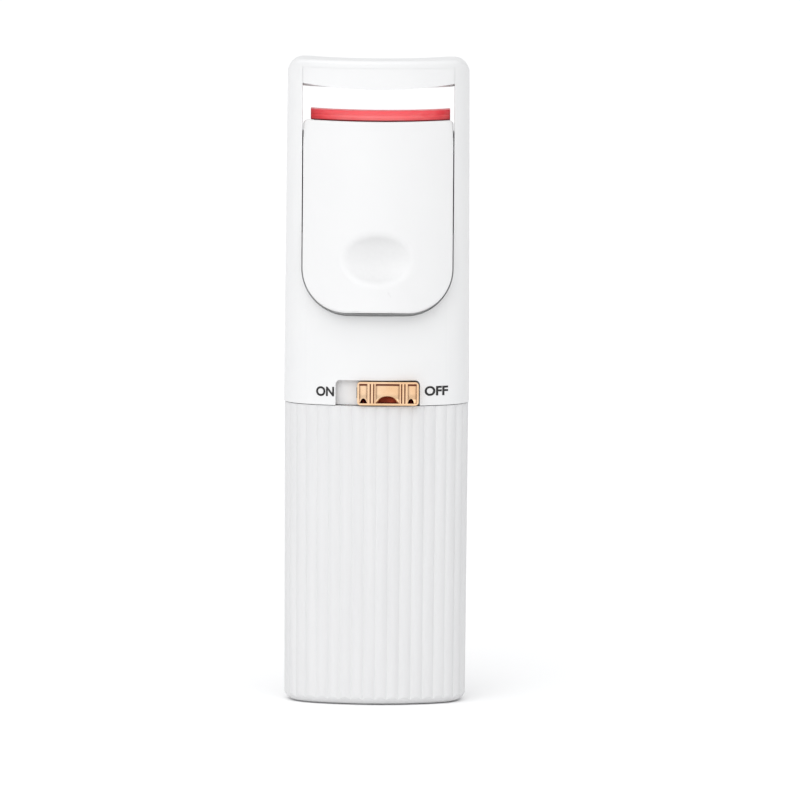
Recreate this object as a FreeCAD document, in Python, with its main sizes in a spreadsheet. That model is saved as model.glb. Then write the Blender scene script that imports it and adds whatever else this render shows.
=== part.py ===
import FreeCAD, Part
import Sketcher
import math
import os

# Heated eyelash curler, millimetres.  +Z up, the press lever faces -Y, the eye side faces +Y.
# The origin is the middle of the base.  The ribbed grip sleeve pulls off downwards over two cells;
# the lever's cams lift the lower jaw carriage, which carries the heated silicone pad.

SIZES = {
    "overall_height": 130.0,
    "seam_height": 60.7,
    "seam_gap": 0.15,
    "head_half_width": 18.65,
    "head_half_depth": 11.0,
    "head_side_radius": 8.5,
    "head_taper": 0.33,
    "wall": 1.6,
    "shoulder_half_width": 18.35,
    "shoulder_low": 119.0,
    "top_corner_radius": 3.2,
    "top_edge_radius": 0.8,
    "arm_inner": 15.27,
    "bridge_low_side": 125.2,
    "bridge_bow": 1.0,
    "bridge_inset": 0.08,
    "jaw_centre": 14.5,
    "scoop_radius": 17.2,
    "scoop_wall": 1.2,
    "scoop_foot": 104.0,
    "scoop_shoulder": 112.0,
    "scoop_foot_radius": 3.5,
    "back_crest": 4.2,
    "back_slope_low": 103.0,
    "back_slope_high": 116.0,
    "back_top": 115.0,
    "split_plane": 1.5,
    "lever_half_width": 15.05,
    "lever_thickness": 2.0,
    "lever_recess": 0.1,
    "lever_low": 78.85,
    "lever_high": 117.7,
    "lever_top_bow": 0.55,
    "lever_corner_radius": 9.1,
    "lever_top_radius": 0.9,
    "lever_rim_radius": 0.45,
    "lever_gap": 0.22,
    "cutout_low": 78.74,
    "bay_depth": -3.0,
    "bay_lining": 1.0,
    "bay_high": 95.0,
    "sill_depth": 0.75,
    "sill_step": 0.42,
    "core_depth": 0.55,
    "core_step": 0.65,
    "core_high": 97.0,
    "press_angle": 6.0,
    "pivot_depth": -4.6,
    "pivot_height": 112.0,
    "pin_radius": 0.8,
    "pin_inner": 13.1,
    "pin_outer": 16.3,
    "running_fit": 0.05,
    "flange_thickness": 1.6,
    "flange_front": -9.0,
    "flange_back": 1.9,
    "flange_below": 6.0,
    "flange_above": 2.2,
    "dish_height": 89.0,
    "dish_floor": -9.5,
    "dish_tall": 7.7,
    "dish_wide": 17.3,
    "dish_round": 5.0,
    "dish_rim_radius": 4.0,
    "jaw_travel": 4.1,
    "nose_radius": 1.5,
    "nose_depth": -2.7,
    "nose_height": 86.5,
    "cam_gap": 0.25,
    "cam_inner": 7.9,
    "cam_outer": 10.1,
    "web_half_width": 10.5,
    "jaw_half_width": 14.0,
    "band_inner_radius": 18.6,
    "band_outer_radius": 21.8,
    "plate_low": 97.0,
    "plate_thickness": 3.0,
    "plate_front": -5.6,
    "plate_back": 5.4,
    "film_low": 117.0,
    "pad_low": 117.6,
    "pad_high": 119.85,
    "pad_outer_radius": 22.0,
    "pad_offset": 0.4,
    "clamp_low": 124.2,
    "clamp_high": 126.2,
    "clamp_inner_radius": 18.6,
    "clamp_outer_radius": 20.4,
    "rod_radius": 0.8,
    "rod_offset": 6.5,
    "rod_depth": 3.0,
    "rod_low": 88.0,
    "shelf_half_width": 7.6,
    "shelf_front": 1.2,
    "shelf_back": 9.6,
    "shelf_low": 86.8,
    "shelf_high": 89.6,
    "seat_radius": 2.3,
    "seat_high": 111.0,
    "spring_seat": 106.2,
    "spring_radius": 1.6,
    "spring_wire": 0.25,
    "screw_offset": 11.5,
    "screw_rise": 11.0,
    "screw_radius": 0.75,
    "screw_head_radius": 1.6,
    "screw_head_seat": 6.4,
    "screw_head_height": 1.2,
    "screw_slot": 0.4,
    "boss_radius": 2.2,
    "boss_front": -9.2,
    "boss_back": 9.0,
    "slot_left": -8.24,
    "slot_right": 8.68,
    "slot_high": 65.8,
    "slot_corner_radius": 1.0,
    "track_left": -11.0,
    "track_right": 11.5,
    "track_high": 68.2,
    "track_thickness": 1.0,
    "track_gap": 0.1,
    "knob_left": -3.9,
    "knob_right": 8.45,
    "knob_low": 60.85,
    "knob_high": 65.58,
    "knob_front": -11.6,
    "knob_back": -9.45,
    "knob_travel": 4.1,
    "knob_corner_radius": 0.7,
    "knob_rim": 0.4,
    "field_depth": 0.5,
    "field_radius": 8.0,
    "groove_width": 0.25,
    "moon_wide": 2.3,
    "moon_tall": 1.65,
    "moon_deep": 1.0,
    "stem_half_width": 2.0,
    "stem_fit": 0.2,
    "stem_low": 62.2,
    "stem_high": 64.0,
    "stem_back": -7.1,
    "switch_depth": 3.6,
    "switch_left": 6.5,
    "switch_right": 2.6,
    "switch_low": 61.3,
    "switch_high": 65.2,
    "actuator_half_width": 1.0,
    "board_front": -2.0,
    "board_thickness": 1.0,
    "board_half_width": 11.6,
    "board_low": 61.5,
    "board_high": 77.0,
    "chip_half_width": 2.5,
    "chip_thickness": 1.4,
    "chip_low": 66.0,
    "chip_high": 71.0,
    "sleeve_half_width": 18.5,
    "sleeve_half_depth": 10.85,
    "sleeve_taper": 0.24,
    "sleeve_wall": 1.7,
    "sleeve_floor": 1.8,
    "sleeve_foot_radius": 2.4,
    "rib_count": 38,
    "rib_depth": 0.28,
    "neck_gap": 0.15,
    "neck_wall": 1.2,
    "neck_high": 66.0,
    "neck_window": 12.5,
    "neck_sill": 60.1,
    "tray_low": 2.6,
    "tray_half_width": 12.2,
    "tray_front": -5.2,
    "tray_back": 6.0,
    "tray_floor": 2.0,
    "bulkhead_low": 51.4,
    "bulkhead_high": 53.0,
    "cell_radius": 5.25,
    "cell_offset": 5.9,
    "cell_length": 43.5,
    "nub_radius": 1.9,
    "nub_length": 1.0,
    "contact_thickness": 0.3,
    "contact_outer": 9.6,
    "contact_inner": 2.2,
    "contact_half_depth": 3.6,
    "contact_spring_radius": 2.6,
    "lead_radius": 0.45,
}


class Dim:
    """A length with its number and its formula in the sheet."""

    def __init__(self, value, formula):
        self.value = value
        self.formula = formula

    def join(self, sign, other, value):
        return Dim(value, "(%s %s %s)" % (self.formula, sign, other.formula))

    def __add__(self, other):
        other = dim(other)
        return self.join("+", other, self.value + other.value)

    def __sub__(self, other):
        other = dim(other)
        return self.join("-", other, self.value - other.value)

    def __mul__(self, other):
        other = dim(other)
        return self.join("*", other, self.value * other.value)

    def __truediv__(self, other):
        other = dim(other)
        return self.join("/", other, self.value / other.value)

    def __neg__(self):
        return Dim(-self.value, "(0 - %s)" % self.formula)


def dim(value):
    """The value as a Dim; a plain number becomes a formula of its own."""
    if isinstance(value, Dim):
        return value
    return Dim(float(value), "(%.4f)" % value)


def size(alias):
    return Dim(SIZES[alias], "Sizes." + alias)


doc = FreeCAD.newDocument("heated_eyelash_curler")
sheet = doc.addObject("Spreadsheet::Sheet", "Sizes")
for row, (alias, value) in enumerate(SIZES.items(), start=1):
    sheet.set("A%d" % row, alias)
    sheet.set("B%d" % row, str(value))
    sheet.setAlias("B%d" % row, alias)
doc.recompute()

nodes = []


def bind(item, prop, value):
    item.setExpression(prop, dim(value).formula)


def place(item, x, y, z):
    bind(item, "Placement.Base.x", x)
    bind(item, "Placement.Base.y", y)
    bind(item, "Placement.Base.z", z)


def node(item, label):
    """Hands an object in as a sub-part under its own label."""
    item.Label = label
    nodes.append(item)
    return item


# --- primitives and booleans -------------------------------------------------------------------

def box(name, x0, x1, y0, y1, z0, z1):
    item = doc.addObject("Part::Box", name)
    bind(item, "Length", dim(x1) - x0)
    bind(item, "Width", dim(y1) - y0)
    bind(item, "Height", dim(z1) - z0)
    place(item, x0, y0, z0)
    return item


def post(name, radius, x, y, z0, z1):
    """A cylinder along Z."""
    item = doc.addObject("Part::Cylinder", name)
    bind(item, "Radius", radius)
    bind(item, "Height", dim(z1) - z0)
    place(item, x, y, z0)
    return item


def axle(name, radius, x0, x1, y, z):
    """A cylinder along X."""
    item = doc.addObject("Part::Cylinder", name)
    item.Placement = FreeCAD.Placement(FreeCAD.Vector(), FreeCAD.Rotation(FreeCAD.Vector(0, 1, 0), 90))
    bind(item, "Radius", radius)
    bind(item, "Height", dim(x1) - x0)
    place(item, x0, y, z)
    return item


def bolt(name, radius, x, y0, y1, z):
    """A cylinder along Y."""
    item = doc.addObject("Part::Cylinder", name)
    item.Placement = FreeCAD.Placement(FreeCAD.Vector(), FreeCAD.Rotation(FreeCAD.Vector(1, 0, 0), -90))
    bind(item, "Radius", radius)
    bind(item, "Height", dim(y1) - y0)
    place(item, x, y0, z)
    return item


def cone(name, low_radius, high_radius, x, y, z0, z1):
    item = doc.addObject("Part::Cone", name)
    bind(item, "Radius1", low_radius)
    bind(item, "Radius2", high_radius)
    bind(item, "Height", dim(z1) - z0)
    place(item, x, y, z0)
    return item


def fuse(name, *items):
    item = doc.addObject("Part::MultiFuse", name)
    item.Shapes = list(items)
    item.Refine = True
    return item


def common(name, first, second):
    item = doc.addObject("Part::Common", name)
    item.Base = first
    item.Tool = second
    return item


def cut(name, base, *tools):
    item = doc.addObject("Part::Cut", name)
    item.Base = base
    item.Tool = tools[0] if len(tools) == 1 else fuse(name + "_tools", *tools)
    return item


def rounded(name, base, radius, picked):
    """The base with the edges that picked() accepts rounded."""
    doc.recompute()
    item = doc.addObject("Part::Fillet", name)
    item.Base = base
    edges = enumerate(base.Shape.Edges, start=1)
    item.Edges = [(number, radius.value, radius.value) for number, edge in edges if picked(edge)]
    return item


def prism(name, outline, x0, x1):
    """A solid between x0 and x1 with an outline of (y, z) points."""
    corners = [FreeCAD.Vector(x0, y, z) for y, z in outline]
    face = Part.Face(Part.makePolygon(corners + corners[:1]))
    item = doc.addObject("Part::Feature", name)
    item.Shape = face.extrude(FreeCAD.Vector(x1 - x0, 0, 0))
    return item


# --- the oval section --------------------------------------------------------------------------

def front_radius(half_width, half_depth, side_radius):
    """Radius of the front and back arcs that run tangent into the side arcs."""
    across = half_width * half_width - half_width * side_radius * 2 + half_depth * half_depth
    return across / ((half_depth - side_radius) * 2)


def oval_pad(name, inset, low, high, taper, like="head"):
    """A closed four-arc oval, inset from the head's or the sleeve's outline, padded up and tapered."""
    half_width = size(like + "_half_width") - inset
    half_depth = size(like + "_half_depth") - inset
    side_radius = size("head_side_radius") - inset
    long_radius = front_radius(half_width, half_depth, side_radius)
    side_centre = half_width - side_radius
    front_centre = long_radius - half_depth
    lean = math.atan2(front_centre.value, side_centre.value)

    body = doc.addObject("PartDesign::Body", name)
    sketch = body.newObject("Sketcher::SketchObject", name + "_outline")
    plane = [item for item in body.Origin.OriginFeatures if item.Role == "XY_Plane"][0]
    sketch.AttachmentSupport = [(plane, "")]
    sketch.MapMode = "FlatFace"

    up = FreeCAD.Vector(0, 0, 1)
    arcs = (
        (side_centre.value, 0, side_radius.value, -lean, lean),
        (0, -front_centre.value, long_radius.value, lean, math.pi - lean),
        (-side_centre.value, 0, side_radius.value, math.pi - lean, math.pi + lean),
        (0, front_centre.value, long_radius.value, math.pi + lean, 2 * math.pi - lean),
    )
    for x, y, radius, start, end in arcs:
        circle = Part.Circle(FreeCAD.Vector(x, y, 0), up, radius)
        sketch.addGeometry(Part.ArcOfCircle(circle, start, end), False)
    for number in range(4):
        following = (number + 1) % 4
        sketch.addConstraint(Sketcher.Constraint("Tangent", number, 2, following, 1))
    for number, x in ((0, side_centre), (2, -side_centre)):
        sketch.addConstraint(Sketcher.Constraint("PointOnObject", number, 3, -1))
        held = sketch.addConstraint(Sketcher.Constraint("DistanceX", -1, 1, number, 3, x.value))
        bind(sketch, "Constraints[%d]" % held, x)
    for number, radius in enumerate((side_radius, long_radius, side_radius, long_radius)):
        held = sketch.addConstraint(Sketcher.Constraint("Radius", number, radius.value))
        bind(sketch, "Constraints[%d]" % held, radius)

    pad = body.newObject("PartDesign::Pad", name + "_pad")
    pad.Profile = sketch
    bind(pad, "Length", dim(high) - low)
    if taper is not None:
        bind(pad, "TaperAngle", taper)
    body.Tip = pad
    bind(body, "Placement.Base.z", low)
    return body


# --- the head: outer form, scoop and cavities --------------------------------------------------

top = size("overall_height")
seam = size("seam_height")
arm = size("arm_inner")
wall = size("wall")
taper = -size("head_taper")
FAR = 30
BEHIND_FRONT = -5

oval_tower = oval_pad("oval_tower", dim(0), seam, top, taper)
shoulder = size("shoulder_half_width")
shoulder_low = size("shoulder_low")
shoulder_box = box("shoulder_box", -shoulder, shoulder, -FAR, FAR, shoulder_low, top)
shoulders = rounded("shoulders", shoulder_box, size("top_corner_radius"),
                    lambda edge: abs(edge.CenterOfMass.y) < 1 and edge.CenterOfMass.z > top.value - 1
                    and abs(edge.CenterOfMass.x) > shoulder.value - 1)
mask = fuse("head_mask", shoulders, box("mask_low", -FAR, FAR, -FAR, FAR, seam - 1, shoulder_low + 1))
head_blank = common("head_blank", oval_tower, mask)
head = rounded("head_form", head_blank, size("top_edge_radius"),
               lambda edge: edge.BoundBox.ZMin > shoulder_low.value + 1
               and min(edge.BoundBox.XLength, edge.BoundBox.YLength) > 0.01)


def scoop(name, grow):
    """The space cut into the eye side: a cone that opens into an upright cylinder, and a sloping back."""
    centre = size("jaw_centre")
    widening = size("scoop_radius") - size("scoop_foot_radius")
    slope = widening / (size("scoop_shoulder") - size("scoop_foot"))
    steep = math.sqrt(1 + 1 / slope.value ** 2)
    foot = size("scoop_foot") - grow * steep
    radius = size("scoop_radius") + grow
    shoulder = foot + (radius - size("scoop_foot_radius")) / slope
    lower = cone(name + "_cone", size("scoop_foot_radius"), radius, 0, centre, foot, shoulder)
    upper = post(name + "_post", radius, 0, centre, shoulder, top + 5)
    crest = SIZES["back_crest"] - grow.value
    slant_low = SIZES["back_slope_low"] - grow.value
    slant_high = SIZES["back_slope_high"] - grow.value
    foot_depth = SIZES["head_half_depth"] + 1
    over = top.value + 10
    outline = [(crest, over), (crest, slant_high), (foot_depth, slant_low), (FAR, slant_low), (FAR, over)]
    slant = prism(name + "_slant", outline, -FAR, FAR)
    return fuse(name, lower, upper, slant)


scoop_space = scoop("scoop_space", dim(0))
scoop_keep = scoop("scoop_keep", size("scoop_wall"))

cutout_low = size("cutout_low")
low_room = oval_pad("low_room", wall, seam - 1, cutout_low - 1, taper)
tall_oval = oval_pad("tall_oval", wall, seam - 1, top, taper)
between_arms = box("between_arms", -arm, arm, -FAR, FAR, cutout_low - 2, size("clamp_low") + 4)
back_room = common("back_room", tall_oval, between_arms)
room = cut("room", back_room, scoop_keep)


def bay(name, grow, high):
    """The lever's bay, grown or shrunk all round: wide rounded corners at its foot."""
    low = cutout_low - grow
    block = box(name + "_box", -arm - grow, arm + grow, -FAR, size("bay_depth"), low, high)
    return rounded(name, block, size("lever_corner_radius") + size("lever_gap") + grow,
                   lambda edge: abs(edge.CenterOfMass.z - low.value) < 0.01
                   and abs(edge.CenterOfMass.x) > arm.value - 1)


opening = bay("opening", dim(0), top + 5)
front_room = cut("front_room", opening, scoop_keep)
window = box("window", -arm, arm, -FAR, FAR, size("back_top"), top + 5)
lining_ring = cut("lining_ring", bay("lining_outer", size("bay_lining"), size("bay_high")), opening)
lining = common("lining", lining_ring, oval_pad("lining_oval", wall / 2, seam, top, taper))

# A step inside the bay's edge, which the lever's thinner rim closes over.
bay_high = size("bay_high")
sill_outer = bay("sill_outer", dim(0.1), bay_high)
sill_ring = cut("sill_ring", sill_outer, bay("sill_inner", -size("sill_step"), top))
sill = common("sill", sill_ring, oval_pad("sill_oval", size("sill_depth"), seam, top, taper))

# The knob's slot is open at the seam.
slot_box = box("slot_box", size("slot_left"), size("slot_right"), -FAR, BEHIND_FRONT,
               seam - 2, size("slot_high"))
slot = rounded("slot", slot_box, size("slot_corner_radius"),
               lambda edge: edge.CenterOfMass.z > SIZES["slot_high"] - 0.1 and edge.BoundBox.YLength > 1)

hollow_head = cut("hollow_head", head, low_room, room, front_room, scoop_space, window, slot)

# The bridge across the arms: set back a hair from their faces, its lower edge bowed.
bridge_zone = box("bridge_zone", -arm - 0.5, arm + 0.5, -FAR, FAR, size("clamp_low") - 1, top)
bridge_blank = common("bridge_blank", head, bridge_zone)
crown_low = top - 1.5
bridge_face = oval_pad("bridge_face", size("bridge_inset"), seam, crown_low, taper)
bridge_crown = box("bridge_crown", -FAR, FAR, -FAR, FAR, crown_low, top + 1)
bridge_body = common("bridge_body", bridge_blank, fuse("bridge_front", bridge_face, bridge_crown))
bow = size("bridge_bow")
bow_radius = (arm * arm + bow * bow) / (bow * 2)
under_bridge = box("under_bridge", -FAR, FAR, -FAR, FAR, shoulder_low, size("bridge_low_side") + 0.5)
bow_form = bolt("bow_form", bow_radius, 0, -FAR, FAR, size("bridge_low_side") - bow + bow_radius)
below_bow = cut("below_bow", under_bridge, bow_form)


def clamp_ring(name, low, fit):
    """The clamp plate's ring, up from a height, with room on both faces."""
    centre = size("jaw_centre")
    outer = post(name + "_outer", size("clamp_outer_radius") + fit, 0, centre, low, size("clamp_high"))
    inner = post(name + "_inner", size("clamp_inner_radius") - fit, 0, centre, low - 1, top)
    return cut(name, outer, inner)


clamp_groove = clamp_ring("clamp_groove", shoulder_low, size("running_fit"))
bridge = cut("bridge", bridge_body, scoop_space, below_bow, clamp_groove)

# --- hinge places and the two shells ---------------------------------------------------------------

pivot_y = size("pivot_depth")
pivot_z = size("pivot_height")
pin_radius = size("pin_radius")
pin_inner = size("pin_inner")
pin_outer = size("pin_outer")
pin_spans = (("left", -pin_outer, -pin_inner), ("right", pin_inner, pin_outer))
pin_holes = [axle("pin_hole_" + side, pin_radius, x0, x1, pivot_y, pivot_z) for side, x0, x1 in pin_spans]

split = size("split_plane")
back_half = box("back_half", -FAR, FAR, split, FAR, seam - 1, size("back_top"))
scoop_zone = box("scoop_zone", -arm, arm, -FAR, FAR, size("scoop_foot") - 4, size("back_top"))
scoop_part = common("scoop_part", scoop_keep, scoop_zone)
back_region = fuse("back_region", back_half, scoop_part)

rod_y = size("rod_depth")
rod_x = size("rod_offset")
rod_radius = size("rod_radius")
seats = []
holes = []
for side, sign in (("left", -1), ("right", 1)):
    x = rod_x * sign
    seats.append(post("seat_" + side, size("seat_radius"), x, rod_y, size("spring_seat"), size("seat_high")))
    holes.append(post("rod_hole_" + side, rod_radius, x, rod_y, size("rod_low"), size("spring_seat") + 1))
shelf_half = size("shelf_half_width")
shelf = box("shelf", -shelf_half, shelf_half, size("shelf_front"), size("shelf_back"),
            size("shelf_low"), size("shelf_high"))
shelf_in = common("shelf_in", shelf, oval_tower)
seat_in = cut("seat_in", common("seats_under", fuse("seats", *seats), scoop_keep), scoop_space)

screw_z = seam + size("screw_rise")
screw_radius = size("screw_radius")
screw_head_radius = size("screw_head_radius")
screw_seat = size("screw_head_seat")
boss_radius = size("boss_radius")
screw_tip = dim(-4.4)
bosses = []
boss_holes = []
back_bosses = []
screw_ways = []
for side, sign in (("left", -1), ("right", 1)):
    x = size("screw_offset") * sign
    bosses.append(bolt("boss_" + side, boss_radius, x, size("boss_front"), split, screw_z))
    boss_holes.append(bolt("boss_hole_" + side, screw_radius, x, screw_tip - 0.1, split + 1, screw_z))
    back_bosses.append(bolt("back_boss_" + side, boss_radius, x, split, size("boss_back"), screw_z))
    screw_ways.append(bolt("screw_way_" + side, screw_radius + 0.2, x, split - 1, FAR, screw_z))
    screw_ways.append(bolt("screw_sink_" + side, screw_head_radius + 0.1, x, screw_seat, FAR, screw_z))
boss_room = oval_pad("boss_room", wall / 2, seam, top, taper)
boss_in = common("boss_in", fuse("front_bosses", *bosses), boss_room)
back_boss_in = common("back_boss_in", fuse("back_bosses", *back_bosses), boss_room)

head_shells = fuse("head_shells", hollow_head, bridge, lining, sill)
front_part = cut("front_part", head_shells, back_region, *pin_holes)
front_shell = cut("front_shell", fuse("front_with_bosses", front_part, boss_in), *boss_holes)
node(front_shell, "front_shell")

back_part = common("back_part", hollow_head, back_region)
back_whole = fuse("back_whole", back_part, shelf_in, seat_in, back_boss_in)
back_shell = cut("back_shell", back_whole, *(holes + screw_ways))
node(back_shell, "back_shell")

for side, sign in (("left", -1), ("right", 1)):
    x = size("screw_offset") * sign
    face = screw_seat + size("screw_head_height")
    wide = size("screw_slot") / 2
    long = screw_head_radius * 0.7
    shank = bolt("shank_" + side, screw_radius, x, screw_tip, screw_seat + 0.1, screw_z)
    screw_head = bolt("screw_head_" + side, screw_head_radius, x, screw_seat, face, screw_z)
    blade = box("blade_" + side, x - long, x + long, face - 0.5, face + 1, screw_z - wide, screw_z + wide)
    cross = box("cross_" + side, x - wide, x + wide, face - 0.5, face + 1, screw_z - long, screw_z + long)
    screw = cut("screw_" + side, fuse("screw_blank_" + side, shank, screw_head), blade, cross)
    node(screw, "shell_screw_" + side)

# The thin clamp edge that the pad closes against, let into the bridge.
clamp_span = box("clamp_span", -arm, arm, -FAR, size("jaw_centre"), shoulder_low, top)
upper_jaw = common("upper_jaw", clamp_ring("clamp_edge", size("clamp_low"), dim(0)), clamp_span)
node(upper_jaw, "upper_jaw_plate")

# --- press lever -------------------------------------------------------------------------------
# Drawn pressed flush, then swung out to its rest place by its own Placement.

recess = size("lever_recess")
thick = size("lever_thickness")
half = size("lever_half_width")
lever_outer = oval_pad("lever_outer", recess, seam, top, taper)
lever_middle = oval_pad("lever_middle", recess + size("core_depth"), seam, top, taper)
lever_inner = oval_pad("lever_inner", recess + thick, seam, top, taper)
pivot_level = pivot_z.value
lever_high = size("lever_high")
panel_box = box("panel_box", -half, half, -FAR, pivot_y + 1.6, size("lever_low"), lever_high)
panel_low = rounded("panel_low", panel_box, size("lever_corner_radius"),
                    lambda edge: edge.BoundBox.YLength > 1 and edge.CenterOfMass.z < pivot_level)
panel_form = rounded("panel_form", panel_low, size("lever_top_radius"),
                     lambda edge: edge.BoundBox.YLength > 1 and edge.BoundBox.XLength < 0.01
                     and edge.CenterOfMass.z > pivot_level)
panel_flat = common("panel_flat", cut("panel_skin", lever_outer, lever_inner), panel_form)

# Its top edge dips in the middle, between the rounded corners.
dip = size("lever_top_bow")
dip_half = half - size("lever_top_radius")
dip_radius = (dip_half * dip_half + dip * dip) / (dip * 2)
dip_form = bolt("dip_form", dip_radius, 0, -FAR, FAR, lever_high - dip + dip_radius)
panel_blank = cut("panel_blank", panel_flat, dip_form)


def panel_rim(edge):
    """True on the rim of the panel's outer face, but not on the lines where the oval's arcs meet."""
    middle = edge.valueAt((edge.FirstParameter + edge.LastParameter) / 2)
    arc_line = edge.BoundBox.ZLength > 20 and abs(middle.x) < half.value - 0.45
    off_face = lever_outer.Shape.Shells[0].distToShape(Part.Vertex(middle))[0]
    return off_face < 0.01 and not arc_line


panel = rounded("panel", panel_blank, size("lever_rim_radius"), panel_rim)

# Behind its rim the panel is narrower towards the foot, to clear the step in the bay.
step = size("core_step")
core_box = box("core_box", step - half, half - step, -FAR, FAR, size("lever_low") + step, lever_high)
core_form = rounded("core_form", core_box, size("lever_corner_radius") - step,
                    lambda edge: edge.BoundBox.YLength > 1 and edge.CenterOfMass.z < pivot_level)
below_hinge = box("below_hinge", -FAR, FAR, -FAR, FAR, seam + 1, size("core_high"))
rebate = cut("rebate", common("rebate_zone", lever_middle, below_hinge), core_form)
stepped_panel = cut("stepped_panel", panel, rebate)

flange = size("flange_thickness")
flanges = []
cams = []
lift = size("jaw_travel").value
angle = math.radians(SIZES["press_angle"])
nose_rest = (SIZES["nose_depth"] - SIZES["pivot_depth"], SIZES["nose_height"] - SIZES["pivot_height"])
start = (nose_rest[0] * math.cos(angle) - nose_rest[1] * math.sin(angle) + SIZES["pivot_depth"],
         nose_rest[0] * math.sin(angle) + nose_rest[1] * math.cos(angle) + SIZES["pivot_height"])
finish = (SIZES["nose_depth"], SIZES["nose_height"] + lift)
run = math.hypot(finish[0] - start[0], finish[1] - start[1])
along = ((start[0] - finish[0]) / run, (start[1] - finish[1]) / run)
reach = SIZES["nose_radius"] + SIZES["cam_gap"]
normal = (-along[1] * reach, along[0] * reach)
overrun = 1.2
cam_top = (finish[0] - normal[0] - along[0] * overrun, finish[1] - normal[1] - along[1] * overrun)
cam_tip = (start[0] - normal[0] + along[0] * overrun, start[1] - normal[1] + along[1] * overrun)
cam_back = -8.2
cam_foot = 82.6
cam_outline = [(cam_back, cam_top[1]), cam_top, cam_tip, (cam_tip[0], cam_foot), (cam_back, cam_foot)]
for side, sign in (("left", -1), ("right", 1)):
    edges = sorted((SIZES["cam_inner"] * sign, SIZES["cam_outer"] * sign))
    cams.append(prism("cam_" + side, cam_outline, edges[0], edges[1]))
    x0, x1 = (-half, -half + flange) if sign < 0 else (half - flange, half)
    flanges.append(box("flange_" + side, x0, x1, size("flange_front"), pivot_y + size("flange_back"),
                       pivot_z - size("flange_below"), pivot_z + size("flange_above")))
flanges_in = common("flanges_in", fuse("flanges", *flanges), lever_outer)
lever_solid = fuse("lever_solid", stepped_panel, flanges_in, *cams)
dish = doc.addObject("Part::Ellipsoid", "dish")
bind(dish, "Radius1", size("dish_tall"))
bind(dish, "Radius2", size("dish_wide"))
bind(dish, "Radius3", size("dish_round"))
dish.Placement = FreeCAD.Placement(FreeCAD.Vector(), FreeCAD.Rotation(FreeCAD.Vector(1, 0, 0), -6))
place(dish, 0, size("dish_floor") - size("dish_round"), size("dish_height"))
hole_radius = pin_radius + size("running_fit")
lever_holes = [axle("lever_hole_" + side, hole_radius, x0 - 0.1, x1 + 0.1, pivot_y, pivot_z)
               for side, x0, x1 in pin_spans]
lever_body = cut("lever_body", lever_solid, dish, *lever_holes)


def dish_rim(edge):
    """True on the line where the thumb dish meets the panel's front."""
    middle = edge.valueAt((edge.FirstParameter + edge.LastParameter) / 2)
    return middle.y < -9 and dish.Shape.Shells[0].distToShape(Part.Vertex(middle))[0] < 0.01


press_lever = rounded("press_lever", lever_body, size("dish_rim_radius"), dish_rim)
press_lever.Placement = FreeCAD.Placement(
    FreeCAD.Vector(), FreeCAD.Rotation(FreeCAD.Vector(1, 0, 0), -SIZES["press_angle"]),
    FreeCAD.Vector(0, SIZES["pivot_depth"], SIZES["pivot_height"]))
node(press_lever, "press_lever")

for side, x0, x1 in pin_spans:
    node(axle("pin_" + side, pin_radius, x0, x1, pivot_y, pivot_z), "lever_pin_" + side)

# --- lower jaw carriage ------------------------------------------------------------------------

def band(name, outer, inner, half_width, low, high):
    """A stretch of upright ring round the eye side's centre line, between -X and +X."""
    ring = cut(name + "_ring", post(name + "_outer", outer, 0, size("jaw_centre"), low, high),
               post(name + "_inner", inner, 0, size("jaw_centre"), dim(low) - 1, dim(high) + 1))
    span = box(name + "_span", -half_width, half_width, -FAR, size("jaw_centre"), low, high)
    return common(name, ring, span)


plate_low = size("plate_low")
plate_high = plate_low + size("plate_thickness")
film_low = size("film_low")
jaw_half = size("jaw_half_width")
web_half = size("web_half_width")
web = band("web", size("band_outer_radius"), size("band_inner_radius"), web_half,
           plate_high - 0.5, film_low - 1)
jaw_bar = band("jaw_bar", size("band_outer_radius"), size("band_inner_radius"), jaw_half,
               film_low - 1.8, film_low)
plate = box("plate", -web_half, web_half, size("plate_front"), size("plate_back"), plate_low, plate_high)
carriage_parts = [web, jaw_bar, plate]
carriage_ways = []
way_radius = rod_radius + size("running_fit")
nose_y = size("nose_depth")
nose = size("nose_radius")
for side, sign in (("left", -1), ("right", 1)):
    edges = sorted((SIZES["cam_inner"] * sign, SIZES["cam_outer"] * sign))
    carriage_parts.append(box("leg_" + side, edges[0], edges[1], nose_y - nose, nose_y + nose,
                              size("nose_height"), plate_low + 0.5))
    carriage_parts.append(axle("nose_" + side, nose, edges[0], edges[1], nose_y, size("nose_height")))
    carriage_ways.append(post("rod_way_" + side, way_radius, rod_x * sign, rod_y,
                              plate_low - 1, plate_high + 1))
jaw_carriage = cut("jaw_carriage", fuse("carriage_solid", *carriage_parts), *carriage_ways)
node(jaw_carriage, "jaw_carriage")

film = band("heating_film", size("band_outer_radius") - 0.3, size("band_inner_radius") + 0.3, jaw_half - 1,
            film_low, size("pad_low"))
node(film, "heating_film")
silicone_pad = band("silicone_pad", size("pad_outer_radius"), size("band_inner_radius"), jaw_half,
                    size("pad_low"), size("pad_high"))
bind(silicone_pad, "Placement.Base.x", size("pad_offset"))
node(silicone_pad, "silicone_pad")


def coil(label, radius, wire, x, y, low, high, turns):
    """A round-wire spring along Z between two heights."""
    pitch = (high - low - 2 * wire) / turns
    helix = doc.addObject("Part::Helix", label + "_path")
    helix.Radius = radius
    helix.Pitch = pitch
    helix.Height = pitch * turns
    section = doc.addObject("Part::Circle", label + "_wire")
    section.Radius = wire
    section.Placement = FreeCAD.Placement(FreeCAD.Vector(radius, 0, 0),
                                          FreeCAD.Rotation(FreeCAD.Vector(1, 0, 0), 90))
    sweep = doc.addObject("Part::Sweep", label)
    sweep.Sections = [section]
    doc.recompute()
    sweep.Spine = (helix, ["Edge1"])
    sweep.Solid = True
    sweep.Frenet = True
    sweep.Placement.Base = FreeCAD.Vector(x, y, low + wire)
    return node(sweep, label)


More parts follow.
